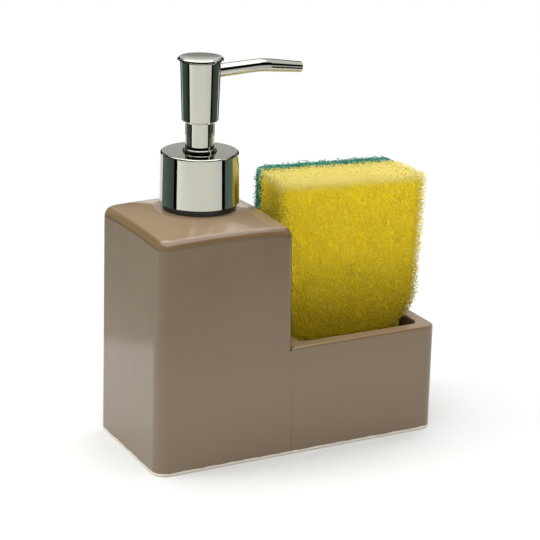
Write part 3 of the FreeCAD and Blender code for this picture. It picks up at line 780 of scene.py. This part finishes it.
def stage_mesh(name, points, faces, material):
    """A mesh round the object that is no part of it."""
    mesh = bpy.data.meshes.new(name)
    mesh.from_pydata(points, [], faces)
    mesh.materials.append(material)
    piece = bpy.data.objects.new(name, mesh)
    scene.collection.objects.link(piece)
    return piece


def build_floor():
    """A plain pale floor that turns white away from the object."""
    s = Shader("floor")
    s.set(Base_Color=(0.8, 0.8, 0.8, 1.0), Roughness=1.0, Specular_IOR_Level=0.0)
    white = s.add("Emission", Color=(*WHITE, 1.0), Strength=1.0)
    distance = s.add("VectorMath")
    distance.operation = "LENGTH"
    s.join(s.place(), distance.inputs[0])
    far = s.ramp(distance.outputs["Value"], WHITE_FROM, WHITE_AT)
    seen = s.math("MULTIPLY", far, s.add("LightPath").outputs["Is Camera Ray"])
    mixed = s.add("MixShader")
    for source, socket in zip((seen, s.bsdf.outputs["BSDF"], white.outputs[0]), mixed.inputs):
        s.join(source, socket)
    s.join(mixed.outputs[0], s.output.inputs["Surface"])
    angles = [2 * math.pi * k / FLOOR_SIDES for k in range(FLOOR_SIDES)]
    ring = [(FLOOR_RADIUS * math.cos(a), FLOOR_RADIUS * math.sin(a), -FLOOR_DROP) for a in angles]
    stage_mesh("floor", ring, [tuple(range(FLOOR_SIDES))], s.material)


def card_material(name, dark, light):
    """A glowing card, from dark to light by the shade of its points."""
    s = Shader(name)
    glow = s.add("Emission", Color=s.mix(s.shade(), dark, light), Strength=1.0)
    s.join(glow.outputs[0], s.output.inputs["Surface"])
    s.tree.nodes.remove(s.bsdf)
    return s.material


def card(name, distance, angles, heights, material, shade=lambda along, z: 0.0):
    """A curved upright card round the pump, which only polished surfaces see."""
    points = []
    shades = []
    for z in heights:
        for along in np.linspace(0.0, 1.0, CARD_COLUMNS):
            bearing = math.radians(CAMERA_BEARING + angles[0] + (angles[1] - angles[0]) * along)
            points.append((PUMP_X + distance * math.cos(bearing), distance * math.sin(bearing), z))
            shades.append(min(max(shade(along, z), 0.0), 1.0))
    faces = []
    for row in range(len(heights) - 1):
        for k in range(CARD_COLUMNS - 1):
            a = row * CARD_COLUMNS + k
            faces.append((a, a + 1, a + 1 + CARD_COLUMNS, a + CARD_COLUMNS))
    piece = stage_mesh(name, points, faces, material)
    piece.data.attributes.new("shade", "FLOAT", "POINT").data.foreach_set("value", shades)
    piece.visible_camera = False
    piece.visible_diffuse = False
    piece.visible_transmission = False
    piece.visible_volume_scatter = False
    piece.visible_shadow = False


def build_cards():
    """Cards at the sides, in front and behind, for the bands that polished surfaces show."""
    black = card_material("card_black", srgb(10, 10, 10), srgb(20, 20, 20))
    backs = card_material("card_back", srgb(168, 168, 166), srgb(255, 255, 253))
    green = card_material("card_green", srgb(50, 62, 57), srgb(134, 158, 151))
    for side, sign, tone, clear in CARD_SIDES:
        edge = (sign * EDGE_ANGLE, sign * (NEAR_ANGLE + EDGE_OVERLAP))
        wide = (sign * NEAR_ANGLE, sign * FAR_ANGLE)
        upper = (sign * clear, sign * FAR_ANGLE)
        rim = (sign * RIM_ANGLE, sign * END_ANGLE)
        low, high = (CARD_FOOT, CARD_MIDDLE), (CARD_MIDDLE, CARD_TOP)
        card("card_edge_" + side, EDGE_DISTANCE, edge, (CARD_FOOT, CARD_TOP), black)
        card("card_low_" + side, CARD_DISTANCE, wide, low, green,
             lambda along, z: tone + LOW_TONE_RISE * along)
        card("card_high_" + side, CARD_DISTANCE, wide, high, green,
             lambda along, z: HIGH_TONE + HIGH_TONE_RISE * along)
        card("card_top_" + side, CARD_DISTANCE, upper, (CARD_TOP, CARD_END), green)
        card("card_rim_" + side, CARD_DISTANCE, rim, (CARD_MIDDLE, CARD_END), green)
    foot = card_material("card_foot", srgb(204, 208, 204), srgb(214, 216, 213))
    card("card_foot_left", CARD_DISTANCE, FOOT_CARD_ANGLES, FOOT_CARD_HEIGHTS, foot,
         lambda along, z: 1.0 - z / CARD_FOOT)
    card("card_front", FRONT_CARD_DISTANCE, FRONT_CARD_ANGLES, FRONT_CARD_HEIGHTS, black)
    card("card_back", BACK_CARD_DISTANCE, BACK_CARD_ANGLES, BACK_CARD_HEIGHTS, backs,
         lambda along, z: (BACK_CARD_DARK - z) / BACK_CARD_FADE)


def lamp(name, place, size, power, colour, in_mirrors):
    """A rectangular lamp that faces the object."""
    data = bpy.data.lights.new(name, "AREA")
    data.shape = "RECTANGLE"
    data.size, data.size_y = size
    data.energy = power
    data.color = colour
    light = bpy.data.objects.new(name, data)
    light.location = place
    light.rotation_mode = "QUATERNION"
    light.rotation_quaternion = (Vector(LAMP_AIM) - Vector(place)).to_track_quat("-Z", "Y")
    light.visible_glossy = in_mirrors
    scene.collection.objects.link(light)


def build_world():
    """A soft surround that is white where it is seen, mirrored or looked through to."""
    world = bpy.data.worlds.new("studio")
    world.use_nodes = True
    tree = world.node_tree
    tree.nodes.clear()
    output = tree.nodes.new("ShaderNodeOutputWorld")
    path = tree.nodes.new("ShaderNodeLightPath")
    seen = path.outputs["Is Camera Ray"]
    for kind in ("Is Glossy Ray", "Is Transmission Ray"):
        either = tree.nodes.new("ShaderNodeMath")
        either.operation = "MAXIMUM"
        tree.links.new(seen, either.inputs[0])
        tree.links.new(path.outputs[kind], either.inputs[1])
        seen = either.outputs[0]
    mixed = tree.nodes.new("ShaderNodeMixShader")
    tree.links.new(seen, mixed.inputs[0])
    for socket, colour, strength in ((1, AMBIENT_COLOUR, AMBIENT_STRENGTH), (2, (*WHITE, 1.0), 1.0)):
        background = tree.nodes.new("ShaderNodeBackground")
        background.inputs["Color"].default_value = colour
        background.inputs["Strength"].default_value = strength
        tree.links.new(background.outputs[0], mixed.inputs[socket])
    tree.links.new(mixed.outputs[0], output.inputs["Surface"])
    scene.world = world


def cad_looks():
    """Materials by slot, for the nodes that keep their own shape and the pieces that match them."""
    natural = moulded("natural_plastic", srgb(226, 227, 220), srgb(236, 236, 231), 0.35, 500.0)
    return {
        "glaze": glaze(),
        "chrome": chrome(),
        "dark_plastic": moulded("dark_plastic", srgb(22, 21, 20), srgb(32, 30, 28), 0.35, 600.0),
        "natural_plastic": natural,
        "gasket": moulded("gasket_rubber", srgb(222, 222, 216), srgb(232, 231, 226), 0.6, 800.0),
        "steel": spring_steel(),
    }


def dress_cad(looks):
    """Gives each node the material of its slot, apart from the sponge's two, which are replaced."""
    for row in frame["record"]["subparts"]:
        if row["material_slot"] in looks:
            materials = nodes[row["node"]].data.materials
            materials.clear()
            materials.append(looks[row["material_slot"]])


photo_camera()
build_floor()
build_cards()
for row in LAMPS:
    lamp(*row)
build_world()
cad_look = cad_looks()
seam_strip("seam_glaze_front", -1, cad_look["glaze"])
seam_strip("seam_glaze_back", 1, cad_look["glaze"])
build_spring(cad_look["steel"])
dress_cad(cad_look)
build_foam()
build_pad()
